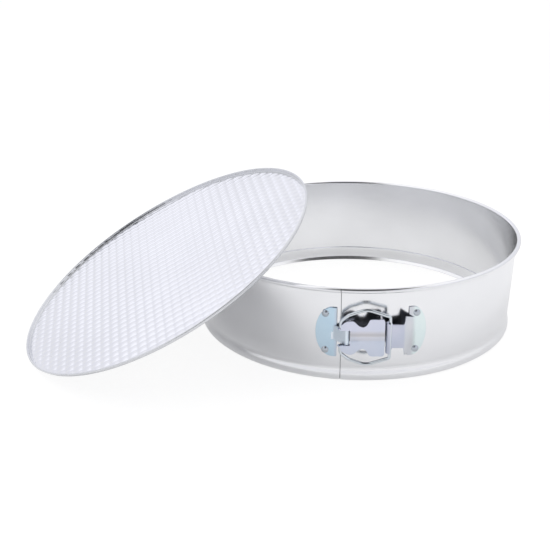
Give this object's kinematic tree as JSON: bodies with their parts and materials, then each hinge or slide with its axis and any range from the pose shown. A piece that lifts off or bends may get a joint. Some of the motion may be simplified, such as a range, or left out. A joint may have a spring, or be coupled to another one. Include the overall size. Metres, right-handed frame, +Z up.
{
  "type": "springform pan",
  "caption": "Round springform cake pan: a tinplate ring with a riveted bail latch and rolled rim, and its loose waffle-embossed base tray leaning against it.",
  "frame": {"origin": "on the ring's axis, in the plane that the ring stands on", "axes": "+Z up along the ring's axis; -Y is the front, where the latch is; +X to the right seen from the front, with the base plate leaning on the left"},
  "size_m": [0.3961, 0.3193, 0.1249],
  "materials": {
    "tinplate_band": "satin tinplate",
    "tinplate_base": "embossed tinplate",
    "zinc_bracket": "zinc-plated, slightly blue",
    "zinc_lever": "zinc-plated, slightly blue",
    "rivet_steel": "plated steel",
    "wire_steel": "bright plated wire"
  },
  "bodies": {
    "ring_left": {"band_left": "tinplate_band", "latch_bracket": "zinc_bracket", "latch_rivets": "rivet_steel", "lever_pin": "rivet_steel"},
    "ring_right": {"band_right": "tinplate_band", "hook_bracket": "zinc_bracket", "hook_rivets": "rivet_steel"},
    "lever": {"lever": "zinc_lever"},
    "bail": {"bail": "wire_steel"},
    "base": {"base_plate": "tinplate_base"}
  },
  "joints": [
    {"name": "lever_swing", "type": "hinge", "parent": "ring_left", "child": "lever", "pos_m": [-0.00453, -0.13597, 0.04], "axis": [0, 0, -1], "range_deg": [0, 140]},
    {"name": "bail_swing", "type": "hinge", "parent": "lever", "child": "bail", "pos_m": [-0.00899, -0.13668, 0.04], "axis": [0, 0, -1], "range_deg": [-125, 0]},
    {"name": "band_spread", "type": "hinge", "parent": "ring_left", "child": "ring_right", "pos_m": [0, 0.1337, 0], "axis": [0, 0, 1], "range_deg": [0, 0.85]},
    {"name": "base_lift", "type": "slide", "parent": "ring_left", "child": "base", "axis": [0, 0, 1], "range_m": [0, 0.12]}
  ],
  "couplings": [
    {"joint": "bail_swing", "follows": "lever_swing", "ratio": -0.89},
    {"joint": "band_spread", "follows": "lever_swing", "ratio": 0.006}
  ]
}
